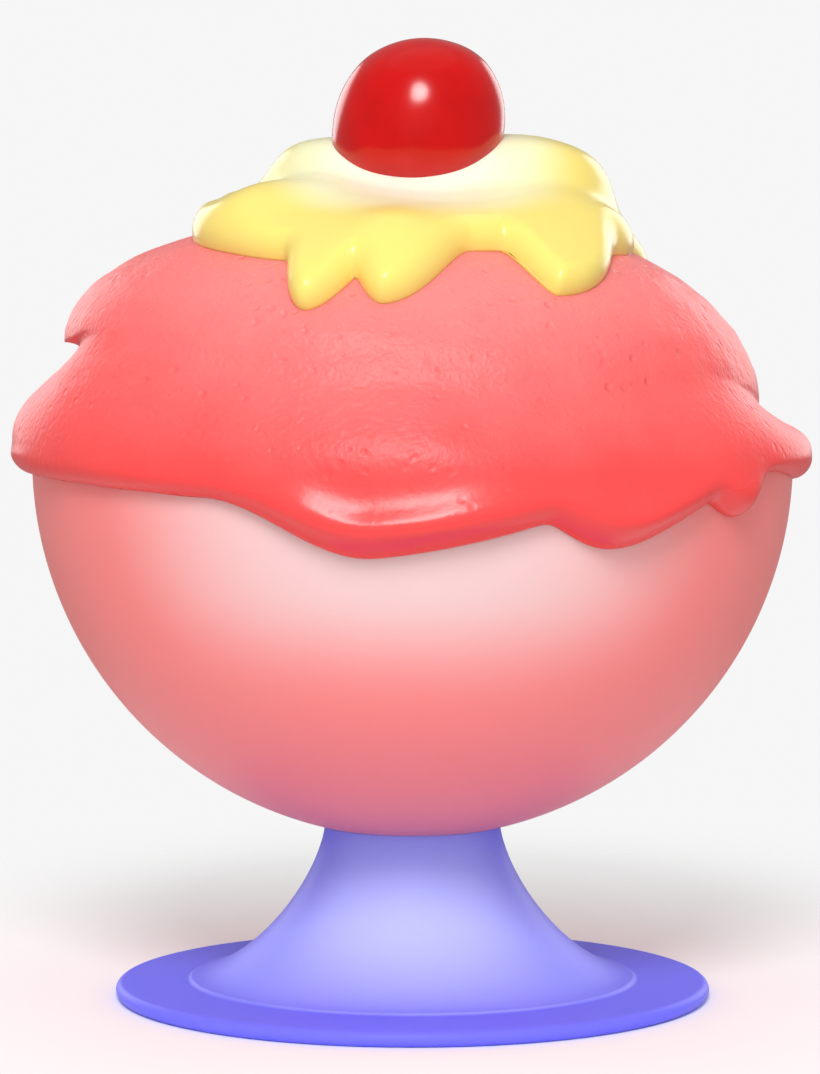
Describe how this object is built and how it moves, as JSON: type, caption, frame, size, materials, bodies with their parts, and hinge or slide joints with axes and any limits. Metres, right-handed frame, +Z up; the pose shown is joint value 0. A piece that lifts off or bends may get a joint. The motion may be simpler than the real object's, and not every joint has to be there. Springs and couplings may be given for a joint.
{
  "type": "ice cream sundae",
  "caption": "Strawberry ice cream sundae melting over the rim of a footed glass bowl, with vanilla sauce and a cherry on top.",
  "frame": {"origin": "centre of the foot's flat underside, on the axis of the glass", "axes": "+Z up along the axis of the glass, -Y towards the front with the deep drip and the cherry, +X to the right seen from the front"},
  "size_m": [0.1137, 0.117, 0.136],
  "materials": {
    "foot_glass": "satin blue opal glass",
    "bowl_glass": "satin pink opal glass",
    "strawberry_ice": "soft ice cream, wet and glossy where it has melted",
    "vanilla_sauce": "thick glossy sauce",
    "cherry": "glossy syrup-coated skin"
  },
  "bodies": {
    "root": {"glass_foot": "foot_glass", "glass_bowl": "bowl_glass", "ice_cream": "strawberry_ice", "vanilla_sauce": "vanilla_sauce", "cherry": "cherry"}
  },
  "joints": []
}
